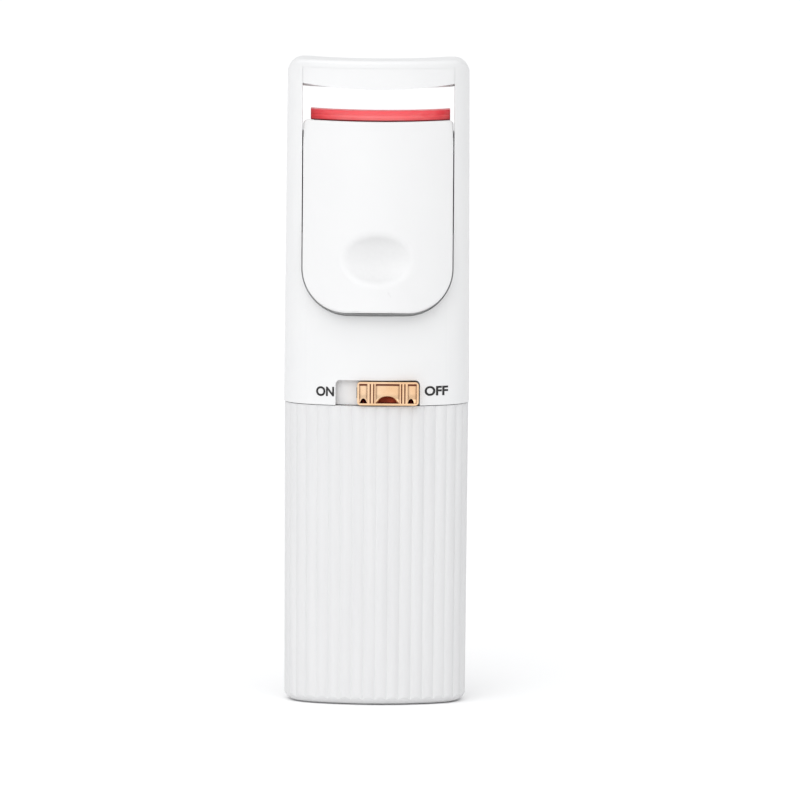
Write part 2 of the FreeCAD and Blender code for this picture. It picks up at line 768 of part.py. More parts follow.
for side, sign in (("left", -1), ("right", 1)):
    x = rod_x * sign
    rod = post("rod_" + side, rod_radius, x, rod_y, size("rod_low"), size("spring_seat") + 1)
    node(rod, "guide_rod_" + side)
    coil("return_spring_" + side, SIZES["spring_radius"], SIZES["spring_wire"], x.value, rod_y.value,
         plate_high.value + 0.05, SIZES["spring_seat"] - 0.05, 4)

# --- switch ------------------------------------------------------------------------------------

knob_left = size("knob_left")
knob_right = size("knob_right")
knob_low = size("knob_low")
knob_high = size("knob_high")
knob_front = size("knob_front")
knob_mid = (knob_left + knob_right) / 2
travel = size("knob_travel")

track_high = size("track_high")
track_face = wall + size("track_gap")
track_ring = cut("track_ring", oval_pad("track_outer", track_face, seam, track_high + 1, taper),
                 oval_pad("track_inner", track_face + size("track_thickness"), seam - 1, track_high + 2,
                          taper))
track_span = box("track_span", size("track_left"), size("track_right"), -FAR, BEHIND_FRONT,
                 seam, track_high)
stem_low = size("stem_low")
stem_high = size("stem_high")
stem_half = size("stem_half_width")
fit = size("stem_fit")
slit = box("slit", knob_mid - stem_half - travel - fit, knob_mid + stem_half + fit, -FAR, BEHIND_FRONT,
           stem_low - fit, stem_high + fit)
switch_track = cut("switch_track", common("track_band", track_ring, track_span), slit)
node(switch_track, "switch_track")

knob_block = box("knob_block", knob_left, knob_right, knob_front, size("knob_back"), knob_low, knob_high)
knob_form = rounded("knob_form", knob_block, size("knob_corner_radius"),
                    lambda edge: edge.BoundBox.YLength > 1 and edge.BoundBox.XLength < 0.01
                    and edge.BoundBox.ZLength < 0.01)
stem_back = size("stem_back")
stem = box("stem", knob_mid - stem_half, knob_mid + stem_half, size("knob_back") - 0.2, stem_back,
           stem_low, stem_high)

# The knob's face: three hollow fields, grooves between them, and a half moon at each field's foot.
rim = size("knob_rim")
field_low = knob_low + rim
field_high = knob_high - rim
field_floor = knob_front + size("field_depth")
field_middle = (field_low + field_high) / 2
hollow_axis = field_floor - size("field_radius")
hollow = axle("field_hollow", size("field_radius"), knob_left, knob_right, hollow_axis, field_middle)
field_boxes = [box("field_" + name, knob_left + x0, knob_left + x1, -FAR, field_floor,
                   field_low, field_high)
               for name, x0, x1 in (("left", 0.4, 2.05), ("middle", 3.7, 8.5), ("right", 10.15, 11.95))]
carved = [common("fields", fuse("field_boxes", *field_boxes), hollow)]
groove = size("groove_width")
for number, x in enumerate((2.5, 3.2, 8.8, 9.45)):
    carved.append(box("groove_%d" % number, knob_left + x, knob_left + x + groove, -FAR, field_floor,
                      field_low, field_high))
for name, x, share in (("left", 1.25, 0.3), ("middle", 6.05, 1.0), ("right", 10.8, 0.27)):
    moon = doc.addObject("Part::Ellipsoid", "moon_" + name)
    bind(moon, "Radius1", size("moon_tall") * (1 + share) / 2)
    bind(moon, "Radius2", size("moon_wide") * share)
    bind(moon, "Radius3", size("moon_deep"))
    place(moon, knob_left + x, knob_front, field_low)
    above = box("above_moon_" + name, knob_left, knob_right, -FAR, knob_front + 1.2, field_low, knob_high)
    carved.append(common("moon_cut_" + name, moon, above))
switch_knob = cut("switch_knob", fuse("knob_solid", knob_form, stem), *carved)
node(switch_knob, "switch_knob")

board_front = size("board_front")
board_back = board_front + size("board_thickness")
body_front = board_front - size("switch_depth")
body_block = box("body_block", knob_mid - size("switch_left"), knob_mid + size("switch_right"),
                 body_front, board_front, size("switch_low"), size("switch_high"))
slider = size("actuator_half_width")
body_groove = box("body_groove", knob_mid - slider - travel - 0.3, knob_mid + slider + 0.3,
                  -FAR, body_front + 1.3, stem_low - 0.1, stem_high + 0.1)
node(cut("body", body_block, body_groove), "switch_body")
actuator = box("actuator", knob_mid - slider, knob_mid + slider, stem_back, body_front + 1.1,
               stem_low + 0.1, stem_high - 0.1)
node(actuator, "switch_actuator")

# --- circuit board and heater leads ------------------------------------------------------------

board_half = size("board_half_width")
board_high = size("board_high")
board_low = size("board_low")
board_blank = box("board_blank", -board_half, board_half, board_front, board_back, board_low, board_high)
board_ways = [bolt("board_way_" + side, boss_radius + 0.3, size("screw_offset") * sign,
                   -FAR, split, screw_z)
              for side, sign in (("left", -1), ("right", 1))]
node(cut("board", board_blank, *board_ways), "circuit_board")
chip_half = size("chip_half_width")
chip = box("chip", -chip_half, chip_half, board_back, board_back + size("chip_thickness"),
           size("chip_low"), size("chip_high"))
node(chip, "control_chip")

lead_radius = size("lead_radius")
lead_y = (board_front + board_back) / 2
for side, sign in (("left", -1), ("right", 1)):
    lead = post("heater_lead", lead_radius, board_half * sign - lead_radius * sign, lead_y, board_high,
                film_low - 1.8)
    node(lead, "heater_lead_" + side)

# --- battery tray, cells and contacts ----------------------------------------------------------

neck_top = size("neck_high")
bulk_low = size("bulkhead_low")
bulk_high = size("bulkhead_high")
tray_low = size("tray_low")
tray_half = size("tray_half_width")
cell_x = size("cell_offset")
cell_radius = size("cell_radius")
neck_inset = size("sleeve_wall") + size("neck_gap")
neck_outer = oval_pad("neck_outer", neck_inset, bulk_low, neck_top, None, like="sleeve")
neck_inner = oval_pad("neck_inner", neck_inset + size("neck_wall"), bulk_high, neck_top + 1, None,
                      like="sleeve")
neck_window = size("neck_window")
neck_front = box("neck_front", -neck_window, neck_window, -FAR, BEHIND_FRONT,
                 size("neck_sill"), neck_top + 1)
neck = cut("neck", neck_outer, neck_inner, neck_front)
tray_back = size("tray_back")
cell_low = tray_low + size("tray_floor")
trough_block = box("trough_block", -tray_half, tray_half, 0, tray_back, tray_low, bulk_low + 0.5)
trough_ends = box("trough_ends", -tray_half, tray_half, size("tray_front"), tray_back, tray_low, cell_low)
troughs = [post("trough_" + side, cell_radius + 0.15, cell_x * sign, 0, cell_low, bulk_low)
           for side, sign in (("left", -1), ("right", 1))]
lead_ways = [post("lead_way_" + side, lead_radius, cell_x * sign, lead_y, bulk_low - 1, bulk_high + 1)
             for side, sign in (("left", -1), ("right", 1))]
tray_solid = fuse("tray_solid", neck, trough_block, trough_ends)
tray = cut("tray", tray_solid, *(troughs + lead_ways))
node(tray, "battery_tray")

sheet_thick = size("contact_thickness")
contact_outer = size("contact_outer")
contact_inner = size("contact_inner")
contact_half = size("contact_half_depth")
foot_top = cell_low + sheet_thick
head_foot = bulk_low - sheet_thick
foot_plate = box("foot_plate", -contact_outer, contact_outer, -contact_half, contact_half,
                 cell_low, foot_top)
foot_rounds = [post("foot_round_" + side, cell_radius, cell_x * sign, 0, cell_low - 1, foot_top + 1)
               for side, sign in (("left", -1), ("right", 1))]
foot_bridge = box("foot_bridge", -3, 3, -3.2, -0.3, cell_low - 1, foot_top + 1)
foot_trough = fuse("foot_trough", foot_bridge, *foot_rounds)
node(common("foot_contact", foot_plate, foot_trough), "contact_plate_low")
for side, x0, x1 in (("left", -contact_outer, -contact_inner), ("right", contact_inner, contact_outer)):
    head_plate = box("head_plate_" + side, x0, x1, -contact_half, contact_half, head_foot, bulk_low)
    reach_post = post("head_reach_" + side, cell_radius, (x0 + x1) / 2, 0, head_foot - 1, bulk_low + 1)
    node(common("head_contact_" + side, head_plate, reach_post), "contact_plate_" + side)

gap = head_foot - foot_top - size("cell_length") - size("nub_length")
for side, sign in (("left", -1), ("right", 1)):
    x = cell_x * sign
    body_low = foot_top + gap if sign < 0 else foot_top + size("nub_length")
    body_high = body_low + size("cell_length")
    nub_low = body_high - 0.2 if sign < 0 else foot_top
    nub_high = head_foot if sign < 0 else body_low + 0.2
    can = post("can_" + side, cell_radius, x, 0, body_low, body_high)
    nub = post("nub_" + side, size("nub_radius"), x, 0, nub_low, nub_high)
    node(fuse("cell_" + side, can, nub), "battery_" + side)
    spring_low = foot_top if sign < 0 else body_high
    coil("contact_spring_" + side, SIZES["contact_spring_radius"], SIZES["spring_wire"], x.value, 0,
         spring_low.value, spring_low.value + gap.value, 1.5)
    lead = post("battery_lead", lead_radius, x, lead_y, bulk_low, board_low)
    node(lead, "battery_lead_" + side)

# --- grip sleeve -------------------------------------------------------------------------------

sleeve_top = seam - size("seam_gap")
sleeve_taper = size("sleeve_taper")
shrink = sleeve_top * math.tan(math.radians(SIZES["sleeve_taper"]))


def oval_point(share, inset):
    """The point at a share of the way round the sleeve's oval, from the middle of the front."""
    half_width = SIZES["sleeve_half_width"] - inset
    half_depth = SIZES["sleeve_half_depth"] - inset
    side_radius = SIZES["head_side_radius"] - inset
    long_radius = front_radius(half_width, half_depth, side_radius)
    side_centre = half_width - side_radius
    front_centre = long_radius - half_depth
    lean = math.atan2(side_centre, front_centre)
    long_run = long_radius * lean
    side_run = side_radius * (math.pi - 2 * lean)
    half_round = 2 * long_run + side_run
    halves, rest = divmod(share * 2 * half_round, half_round)
    if rest <= long_run:
        turn = rest / long_radius
        x, y = long_radius * math.sin(turn), front_centre - long_radius * math.cos(turn)
    elif rest <= long_run + side_run:
        turn = lean + (rest - long_run) / side_radius
        x, y = side_centre + side_radius * math.sin(turn), -side_radius * math.cos(turn)
    else:
        turn = (half_round - rest) / long_radius
        x, y = long_radius * math.sin(turn), long_radius * math.cos(turn) - front_centre
    sign = -1 if int(halves) % 2 else 1
    return sign * x, sign * y


def ribbed_ring(inset, height):
    """The sleeve's outline: one shallow outward arc for each rib, with grooves between them."""
    count = int(SIZES["rib_count"])
    depth = SIZES["rib_depth"]
    grooves = [oval_point(number / count, inset + depth) for number in range(count)]
    grooves = [FreeCAD.Vector(x, y, height) for x, y in grooves]
    arcs = []
    for number, groove in enumerate(grooves):
        x, y = oval_point((number + 0.5) / count, inset)
        following = grooves[(number + 1) % count]
        arcs.append(Part.Arc(groove, FreeCAD.Vector(x, y, height), following).toShape())
    return Part.Wire(arcs)


ribs = doc.addObject("Part::Feature", "ribs")
ribs.Shape = Part.makeLoft([ribbed_ring(shrink.value, 0), ribbed_ring(0, sleeve_top.value)], True, True)
foot_blank = oval_pad("foot_blank", shrink - 0.1, 0, sleeve_top, sleeve_taper, like="sleeve")
foot_form = rounded("foot_form", foot_blank, size("sleeve_foot_radius"),
                    lambda edge: abs(edge.CenterOfMass.z) < 0.001)
sleeve_room = oval_pad("sleeve_room", size("sleeve_wall"), size("sleeve_floor"), sleeve_top + 1, None,
                       like="sleeve")
grip_sleeve = cut("grip_sleeve", common("sleeve_solid", ribs, foot_form), sleeve_room)
node(grip_sleeve, "grip_sleeve")

# --- checks and files --------------------------------------------------------------------------

doc.recompute()
for item in doc.Objects:
    if "Invalid" in item.State or "Error" in item.State:
        raise RuntimeError("%s failed: %s" % (item.Label, item.State))
for item in nodes:
    if item.Shape.isNull() or not item.Shape.isValid() or item.Shape.Volume <= 0:
        raise RuntimeError(item.Label + " has no sound shape")

os.makedirs("parts", exist_ok=True)
for item in nodes:
    item.Shape.exportStep(os.path.join("parts", item.Label + ".step"))
    bounds = item.Shape.BoundBox
    print("%-24s solids %d  volume %9.2f  x %6.2f %6.2f  y %6.2f %6.2f  z %6.2f %6.2f" % (
        item.Label, len(item.Shape.Solids), item.Shape.Volume, bounds.XMin, bounds.XMax,
        bounds.YMin, bounds.YMax, bounds.ZMin, bounds.ZMax))
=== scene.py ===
import bpy
import math
from mathutils import Euler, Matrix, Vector


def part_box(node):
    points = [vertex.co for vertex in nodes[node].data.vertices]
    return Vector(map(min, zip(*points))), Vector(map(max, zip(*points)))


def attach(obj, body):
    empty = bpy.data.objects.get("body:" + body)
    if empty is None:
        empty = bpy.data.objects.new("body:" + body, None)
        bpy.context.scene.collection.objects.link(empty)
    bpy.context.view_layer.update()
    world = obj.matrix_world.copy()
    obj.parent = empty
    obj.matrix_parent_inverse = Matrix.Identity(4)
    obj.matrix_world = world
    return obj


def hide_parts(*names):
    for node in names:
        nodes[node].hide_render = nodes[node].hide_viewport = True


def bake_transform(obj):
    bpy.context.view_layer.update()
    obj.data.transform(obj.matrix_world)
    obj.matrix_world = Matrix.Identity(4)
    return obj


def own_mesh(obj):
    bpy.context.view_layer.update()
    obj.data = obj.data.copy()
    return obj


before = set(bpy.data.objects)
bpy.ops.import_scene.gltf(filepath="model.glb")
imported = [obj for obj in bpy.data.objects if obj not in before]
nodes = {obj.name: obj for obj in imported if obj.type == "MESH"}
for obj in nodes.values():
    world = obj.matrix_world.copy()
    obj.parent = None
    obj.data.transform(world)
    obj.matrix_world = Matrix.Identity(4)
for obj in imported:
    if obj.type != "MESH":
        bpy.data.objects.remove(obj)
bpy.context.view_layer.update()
MM = 0.001

# noises, in features to the metre
TONE_CLOUDS = 90
GLOSS_CLOUDS = 260
METAL_CLOUDS = 300
SILICONE_CLOUDS = 700
SILICONE_STREAKS = 900
SILICONE_GRAIN = 7000
CELL_CLOUDS = 400
CELL_GRAIN = 3000
BOARD_CLOUDS = 500
BOARD_TRACKS = 260
FLOOR_CLOUDS = 3

# reaches of the painted shade in gaps and in broad hollows
GAP_SHADE_REACH = 0.6 * MM
HOLLOW_SHADE_REACH = 12 * MM

# light
SUN = 1.28
KEY = 0.8
WORLD_LEFT = 0.93
WORLD_RIGHT = 0.86
CEILING = 0.72


# --- materials ---------------------------------------------------------------------------------

def new_material(name):
    """A material with its node tree and its Principled shader."""
    material = bpy.data.materials.new(name)
    material.use_nodes = True
    tree = material.node_tree
    return material, tree, tree.nodes["Principled BSDF"]


def add(tree, kind, **settings):
    """A new node with its settings."""
    node = tree.nodes.new(kind)
    for key, value in settings.items():
        setattr(node, key, value)
    return node


def noise(tree, where, per_metre, detail=2.0, stretch=None):
    """Noise in the row frame, with so many features to the metre."""
    texture = add(tree, "ShaderNodeTexNoise")
    texture.inputs["Scale"].default_value = per_metre
    texture.inputs["Detail"].default_value = detail
    if stretch is None:
        tree.links.new(where, texture.inputs["Vector"])
        return texture.outputs["Fac"]
    mapping = add(tree, "ShaderNodeMapping")
    mapping.inputs["Scale"].default_value = stretch
    tree.links.new(where, mapping.inputs["Vector"])
    tree.links.new(mapping.outputs["Vector"], texture.inputs["Vector"])
    return texture.outputs["Fac"]


def spread(tree, value, low, high, start=0.35, end=0.65):
    """The value from start to end, spread over low to high."""
    ranged = add(tree, "ShaderNodeMapRange")
    ranged.inputs["From Min"].default_value = start
    ranged.inputs["From Max"].default_value = end
    ranged.inputs["To Min"].default_value = low
    ranged.inputs["To Max"].default_value = high
    tree.links.new(value, ranged.inputs["Value"])
    return ranged.outputs["Result"]


def mixed(tree, factor, first, second, blend="MIX"):
    """Two colours mixed by a factor; each may be a value or a socket."""
    mix = add(tree, "ShaderNodeMix", data_type="RGBA", blend_type=blend)
    for socket, value in ((mix.inputs[0], factor), (mix.inputs[6], first), (mix.inputs[7], second)):
        if isinstance(value, bpy.types.NodeSocket):
            tree.links.new(value, socket)
        elif isinstance(value, (int, float)):
            socket.default_value = value
        else:
            socket.default_value = (*value, 1)
    return mix.outputs[2]


def times(tree, *values):
    """The product of value sockets."""
    product = values[0]
    for value in values[1:]:
        node = add(tree, "ShaderNodeMath", operation="MULTIPLY")
        tree.links.new(product, node.inputs[0])
        tree.links.new(value, node.inputs[1])
        product = node.outputs["Value"]
    return product


def object_place(tree):
    """The place in the row frame, because each CAD node's object sits at the origin."""
    return add(tree, "ShaderNodeTexCoord").outputs["Object"]


def painted_crevice_shade(tree, colour, depth, dark, start=0.15, end=0.8):
    """Painted shade: the colour running to a dark one where other surfaces stand close, as in gaps and
    corners.
    """
    occlusion = add(tree, "ShaderNodeAmbientOcclusion", samples=8)
    occlusion.inputs["Distance"].default_value = depth
    openness = spread(tree, occlusion.outputs["AO"], 0.0, 1.0, start, end)
    return mixed(tree, openness, dark, colour)


def painted_hollow_shade(tree, colour, reach, strength):
    """Painted shade: the colour dimmed in the broad hollows of a piece, by how much of its own body stands
    round.
    """
    occlusion = add(tree, "ShaderNodeAmbientOcclusion", samples=16, only_local=True)
    occlusion.inputs["Distance"].default_value = reach
    dimmed = spread(tree, occlusion.outputs["AO"], 1.0 - strength, 1.0, 0.0, 1.0)
    dimmed.node.clamp = False
    return mixed(tree, 1.0, colour, dimmed, "MULTIPLY")


def bumped(tree, shader, height, distance):
    """The height as a bump of so many metres."""
    bump = add(tree, "ShaderNodeBump")
    bump.inputs["Distance"].default_value = distance
    bump.inputs["Strength"].default_value = 1.0
    tree.links.new(height, bump.inputs["Height"])
    tree.links.new(bump.outputs["Normal"], shader.inputs["Normal"])


def plastic(name, colour, shade, roughness, grain=9000, depth=4e-6, streak=(1, 1, 1), gap_shade=0.35,
            hollow_shade=0):
    """Moulded plastic: fine spark grain, cloudy roughness, a faint change of tone, painted shade in gaps
    and, if asked, painted shade in broad hollows.
    """
    material, tree, shader = new_material(name)
    where = object_place(tree)
    tone = spread(tree, noise(tree, where, TONE_CLOUDS, 2, streak), 0.0, 1.0, 0.2, 0.8)
    base = mixed(tree, tone, colour, shade)
    if hollow_shade:
        base = painted_hollow_shade(tree, base, HOLLOW_SHADE_REACH, hollow_shade)
    # painted shade for gaps: the second tone darkened by the gap setting
    gap_shade_colour = tuple(channel * (1 - gap_shade) for channel in shade)
    tree.links.new(painted_crevice_shade(tree, base, GAP_SHADE_REACH, gap_shade_colour, 0.05, 0.6), shader.inputs["Base Color"])
    cloud = noise(tree, where, GLOSS_CLOUDS, 5)
    clouded = spread(tree, cloud, roughness - 0.05, roughness + 0.07, 0.25, 0.75)
    tree.links.new(clouded, shader.inputs["Roughness"])
    bumped(tree, shader, noise(tree, where, grain, 2), depth)
    shader.inputs["Specular IOR Level"].default_value = 0.45
    return material


def metal(name, colour, shade, roughness, lines=(1, 1, 1), grain=6000, depth=1.5e-6, shade_painter=None):
    """Metal with a drawn or brushed grain; an optional function may paint dark shade into its recesses."""
    material, tree, shader = new_material(name)
    where = object_place(tree)
    tone = spread(tree, noise(tree, where, METAL_CLOUDS, 3), 0.0, 1.0)
    base = mixed(tree, tone, colour, shade)
    if shade_painter is not None:
        base = shade_painter(tree, where, base)
    tree.links.new(base, shader.inputs["Base Color"])
    shader.inputs["Metallic"].default_value = 1.0
    streaks = noise(tree, where, grain, 3, stretch=lines)
    brushed = spread(tree, streaks, roughness - 0.05, roughness + 0.08)
    tree.links.new(brushed, shader.inputs["Roughness"])
    bumped(tree, shader, streaks, depth)
    return material


def knob_painted_shade(tree, where, base):
    """Painted shade and dark reflection in the knob's grooves, in its half moons and under the top rim of
    its fields.
    """
    painted_shade_brown = (0.11, 0.022, 0.014)
    rim = 0.35 * MM
    soft = 0.06 * MM
    sunk_from, sunk_full = 0.12 * MM, 0.2 * MM
    moon_from, moon_full = 0.52 * MM, 0.56 * MM
    strip_from, strip_full = 0.9 * MM, 0.72 * MM
    low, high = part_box("switch_knob")
    parts = add(tree, "ShaderNodeSeparateXYZ")
    tree.links.new(where, parts.inputs["Vector"])
    x, y, z = parts.outputs["X"], parts.outputs["Y"], parts.outputs["Z"]
    within = times(tree, spread(tree, x, 0.0, 1.0, low.x + rim - soft, low.x + rim),
                   spread(tree, x, 1.0, 0.0, high.x - rim, high.x - rim + soft),
                   spread(tree, z, 0.0, 1.0, low.z + rim - soft, low.z + rim),
                   spread(tree, z, 1.0, 0.0, high.z - rim, high.z - rim + soft))
    deep = spread(tree, y, 0.0, 1.0, low.y + moon_from, low.y + moon_full)
    sunk = spread(tree, y, 0.0, 1.0, low.y + sunk_from, low.y + sunk_full)
    under_rim = spread(tree, z, 0.0, 1.0, high.z - strip_from, high.z - strip_full)
    base = painted_crevice_shade(tree, base, GAP_SHADE_REACH, painted_shade_brown, 0.45, 0.9)
    base = mixed(tree, times(tree, within, sunk, under_rim), base, painted_shade_brown)
    return mixed(tree, times(tree, within, deep), base, painted_shade_brown)


def silicone():
    """Soft red silicone, lighter in the middle, with a fine matt skin, painted shade in its crevices and a
    painted shadow line at its foot.
    """
    middle_red, end_red = (0.9, 0.15, 0.16), (0.87, 0.055, 0.072)
    pale_red, upper_red = (0.9, 0.22, 0.22), (0.78, 0.04, 0.06)
    crevice_shade_red, foot_shadow_red = (0.2, 0.008, 0.014), (0.16, 0.006, 0.012)
    middle_half, ends_from = 3 * MM, 13 * MM
    top_rim = 0.3 * MM
    crevice_shade_reach = 0.8 * MM
    foot_shadow_full, foot_shadow_end = 0.16 * MM, 0.28 * MM
    material, tree, shader = new_material("silicone_red")
    low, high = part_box("silicone_pad")
    where = object_place(tree)
    parts = add(tree, "ShaderNodeSeparateXYZ")
    tree.links.new(where, parts.inputs["Vector"])
    aside = add(tree, "ShaderNodeMath", operation="ABSOLUTE")
    tree.links.new(parts.outputs["X"], aside.inputs[0])
    height = parts.outputs["Z"]
    ends = spread(tree, aside.outputs["Value"], 0.0, 1.0, middle_half, ends_from)
    tone = mixed(tree, ends, middle_red, end_red)
    streaks = spread(tree, noise(tree, where, SILICONE_STREAKS, 2, (0.15, 1, 1)), 0, 0.35)
    cloudy = mixed(tree, streaks, tone, pale_red)
    upper = spread(tree, height, 0.0, 0.6, (low.z + high.z) / 2, high.z - top_rim)
    shaded = mixed(tree, upper, cloudy, upper_red)
    # painted shade where other surfaces stand close
    crevice_shaded = painted_crevice_shade(tree, shaded, crevice_shade_reach, crevice_shade_red, 0.2, 0.75)
    # painted shadow line along the pad's foot
    foot_shadow = spread(tree, height, 1.0, 0.0, low.z + foot_shadow_full, low.z + foot_shadow_end)
    tree.links.new(mixed(tree, foot_shadow, crevice_shaded, foot_shadow_red), shader.inputs["Base Color"])
    shader.inputs["Subsurface Weight"].default_value = 0.35
    shader.inputs["Subsurface Radius"].default_value = (1.0, 0.25, 0.2)
    shader.inputs["Subsurface Scale"].default_value = 0.9 * MM
    matt = spread(tree, noise(tree, where, SILICONE_CLOUDS, 3), 0.28, 0.42)
    tree.links.new(matt, shader.inputs["Roughness"])
    bumped(tree, shader, noise(tree, where, SILICONE_GRAIN, 2), 5e-6)
    return material


def cell_can(foot, crown):
    """A cell's printed sleeve: dark body, copper band at the nub's end, bare steel at both ends."""
    steel, dark, copper = (0.5, 0.5, 0.5, 1), (0.02, 0.022, 0.028, 1), (0.62, 0.3, 0.14, 1)
    bands = ((0.0, steel), (0.03, dark), (0.78, copper), (0.955, steel))
    material, tree, shader = new_material("cell_sleeve")
    where = object_place(tree)
    height = add(tree, "ShaderNodeSeparateXYZ")
    tree.links.new(where, height.inputs["Vector"])
    ramp = add(tree, "ShaderNodeValToRGB")
    ramp.color_ramp.interpolation = "CONSTANT"
    share = spread(tree, height.outputs["Z"], 0.0, 1.0, foot, crown)
    tree.links.new(share, ramp.inputs["Fac"])
    stops = ramp.color_ramp.elements
    while len(stops) < len(bands):
        stops.new(0.5)
    for stop, (place, colour) in zip(stops, bands):
        stop.position = place
        stop.color = colour
    tree.links.new(ramp.outputs["Color"], shader.inputs["Base Color"])
    gloss = spread(tree, noise(tree, where, CELL_CLOUDS, 3), 0.22, 0.34)
    tree.links.new(gloss, shader.inputs["Roughness"])
    bumped(tree, shader, noise(tree, where, CELL_GRAIN, 2), 4e-6)
    shader.inputs["Metallic"].default_value = 0.6
    return material


def solder_mask():
    """Circuit board: green lacquer over faint straight tracks."""
    material, tree, shader = new_material("board_green")
    where = object_place(tree)
    tracks = add(tree, "ShaderNodeTexBrick")
    tracks.inputs["Scale"].default_value = BOARD_TRACKS
    tracks.inputs["Mortar Size"].default_value = 0.06
    tree.links.new(where, tracks.inputs["Vector"])
    green = mixed(tree, tracks.outputs["Fac"], (0.012, 0.13, 0.05), (0.03, 0.24, 0.1))
    tree.links.new(green, shader.inputs["Base Color"])
    gloss = spread(tree, noise(tree, where, BOARD_CLOUDS, 3), 0.25, 0.4)
    tree.links.new(gloss, shader.inputs["Roughness"])
    bumped(tree, shader, tracks.outputs["Fac"], 2e-5)
    return material


looks = {
    # the gap settings give the strength of each plastic's painted shade in gaps
    "shell": plastic("shell_white", (0.73, 0.73, 0.73), (0.71, 0.712, 0.714), 0.38, gap_shade=0.15),
    # the lever's hollow setting paints shade into its thumb dish
    "lever": plastic("lever_white", (0.715, 0.715, 0.715), (0.7, 0.7, 0.702), 0.32, hollow_shade=2.6),
    "sleeve": plastic("sleeve_white", (0.67, 0.67, 0.672), (0.63, 0.63, 0.634), 0.45,
                      streak=(6, 6, 0.35)),
    # the jaw plate is a paler white than the other white plastics: painted light on its face, which lies
    # in shade under the bridge
    "jaw": plastic("jaw_white", (0.9, 0.9, 0.9), (0.87, 0.87, 0.87), 0.45, gap_shade=0.0),
    "carriage": plastic("carriage_white", (0.72, 0.72, 0.72), (0.69, 0.69, 0.69), 0.5),
    "track": plastic("track_grey", (0.8, 0.8, 0.8), (0.66, 0.66, 0.67), 0.6, grain=3500, depth=2e-5,
                     gap_shade=0.0),
    "tray": plastic("tray_white", (0.68, 0.68, 0.68), (0.65, 0.65, 0.65), 0.5),
    "black": plastic("switch_black", (0.02, 0.02, 0.02), (0.03, 0.03, 0.03), 0.45),
    "chip": plastic("chip_black", (0.015, 0.015, 0.015), (0.025, 0.025, 0.025), 0.55),
    "print": plastic("print_black", (0.008, 0.008, 0.008), (0.014, 0.014, 0.014), 0.55),
    "red_lead": plastic("lead_red", (0.5, 0.02, 0.015), (0.42, 0.015, 0.01), 0.4),
    "black_lead": plastic("lead_black", (0.02, 0.02, 0.02), (0.03, 0.03, 0.03), 0.4),
    # the heating film is a dark red rather than amber: painted shade for the dark line under the pad
    "film": plastic("film_amber", (0.3, 0.06, 0.02), (0.24, 0.045, 0.015), 0.25),
    # the knob's gold, with painted shade and dark reflection in its recesses
    "gold": metal("knob_gold", (0.88, 0.62, 0.4), (0.82, 0.53, 0.31), 0.12, lines=(0.08, 1, 1),
                  shade_painter=knob_painted_shade),
    "dark_steel": metal("pin_steel", (0.16, 0.16, 0.17), (0.12, 0.12, 0.13), 0.35, lines=(0.1, 1, 1)),
    "steel": metal("steel", (0.62, 0.62, 0.63), (0.55, 0.55, 0.57), 0.25, lines=(1, 1, 0.1)),
    "nickel": metal("contact_nickel", (0.68, 0.66, 0.6), (0.6, 0.58, 0.52), 0.22, lines=(1, 0.2, 1)),
    "board": solder_mask(),
    "silicone": silicone(),
}

worn_by = {
    "lever_pin_left": "dark_steel", "lever_pin_right": "dark_steel",
    "front_shell": "shell", "back_shell": "shell", "press_lever": "lever", "grip_sleeve": "sleeve",
    "upper_jaw_plate": "jaw", "jaw_carriage": "carriage", "heating_film": "film",
    "switch_knob": "gold", "switch_track": "track", "switch_body": "black", "switch_actuator": "black",
    "circuit_board": "board", "control_chip": "chip", "battery_tray": "tray",
    "heater_lead_left": "red_lead", "heater_lead_right": "black_lead",
    "battery_lead_left": "red_lead", "battery_lead_right": "black_lead",
}


def dress(name, material):
    """The material on every slot of a CAD node."""
    mesh = nodes[name].data
    for number in range(len(mesh.materials)):
        mesh.materials[number] = material


for name in nodes:
    if name in worn_by:
        dress(name, looks[worn_by[name]])
    elif name.startswith("contact"):
        dress(name, looks["nickel"])
    elif name not in ("battery_left", "battery_right", "silicone_pad"):
        dress(name, looks["steel"])

for name, upside_down in (("battery_left", False), ("battery_right", True)):
    low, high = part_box(name)
    foot, crown = (high.z, low.z) if upside_down else (low.z, high.z)
    dress(name, cell_can(foot, crown))


# --- mesh help ---------------------------------------------------------------------------------

def mesh_piece(name, points, faces, material, smooth_under=35):
    """A new object from points and faces, sharp where its faces turn by more than an angle in degrees."""
    mesh = bpy.data.meshes.new(name)
    mesh.from_pydata([tuple(point) for point in points], [], faces)
    mesh.update()
    mesh.shade_smooth()
    mesh.set_sharp_from_angle(angle=math.radians(smooth_under))
    mesh.materials.append(material)
    piece = bpy.data.objects.new(name, mesh)
    bpy.context.scene.collection.objects.link(piece)
    return piece


# --- silicone pad ------------------------------------------------------------------------------

def pad_profile(inner, outer, low, high):
    """The pad's section as (distance from the eye centre, height): rounded, crowned, grooved in front."""
    corner = 0.22 * MM
    crown = 0.10 * MM
    groove = 0.10 * MM
    points = []

    def arc(distance, height, start, end, steps=5):
        for step in range(steps + 1):
            turn = math.radians(start + (end - start) * step / steps)
            points.append((distance + corner * math.cos(turn), height + corner * math.sin(turn)))

    arc(outer - corner, low + corner, -90, 0)
    for lift, dip in ((-0.35, 0.0), (-0.15, 0.5), (0.0, 1.0), (0.15, 0.5), (0.35, 0.0)):
        points.append((outer - groove * dip, (low + high) / 2 + lift * MM))
    arc(outer - corner, high - corner - crown, 0, 90)
    for share in (0.25, 0.5, 0.75):
        distance = outer - corner + (inner - outer + 2 * corner) * share
        points.append((distance, high - crown + crown * math.sin(math.pi * share)))
    arc(inner + corner, high - corner - crown, 90, 180)
    arc(inner + corner, low + corner, 180, 270)
    return points


